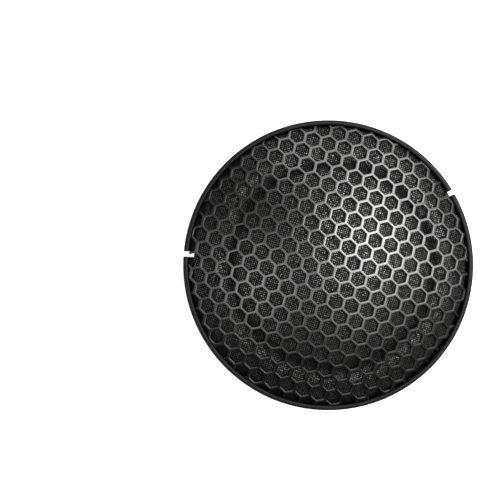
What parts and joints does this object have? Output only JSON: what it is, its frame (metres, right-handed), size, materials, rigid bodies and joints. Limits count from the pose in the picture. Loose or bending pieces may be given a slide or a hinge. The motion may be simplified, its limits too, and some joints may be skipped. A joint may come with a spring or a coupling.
{
  "type": "honeycomb speaker grille",
  "caption": "Round domed grille: hexagonal steel mesh over black acoustic cloth, held in a notched plastic trim ring.",
  "frame": {"origin": "centre of the rear face, which is the underside of the foam gasket", "axes": "+Z along the axis of the dome, out of the front; +Y is up and +X is to the right when the grille is seen from the front"},
  "size_m": [0.165, 0.165, 0.0233],
  "materials": {
    "satin_plastic": "fine satin, moulded",
    "powder_coat": "satin black powder coat on steel sheet",
    "black_cloth": "open woven acoustic cloth",
    "black_foam": "closed-cell foam",
    "adhesive_film": "double-sided tape",
    "dark_zinc": "dark zinc plate"
  },
  "bodies": {
    "root": {"trim_ring": "satin_plastic", "carrier_ring": "satin_plastic", "hex_mesh": "powder_coat", "acoustic_cloth": "black_cloth", "adhesive_ring": "adhesive_film", "foam_gasket": "black_foam", "screw_01": "dark_zinc", "screw_02": "dark_zinc", "screw_03": "dark_zinc", "screw_04": "dark_zinc", "screw_05": "dark_zinc", "screw_06": "dark_zinc", "screw_07": "dark_zinc", "screw_08": "dark_zinc", "screw_09": "dark_zinc", "screw_10": "dark_zinc", "screw_11": "dark_zinc", "screw_12": "dark_zinc"}
  },
  "joints": []
}
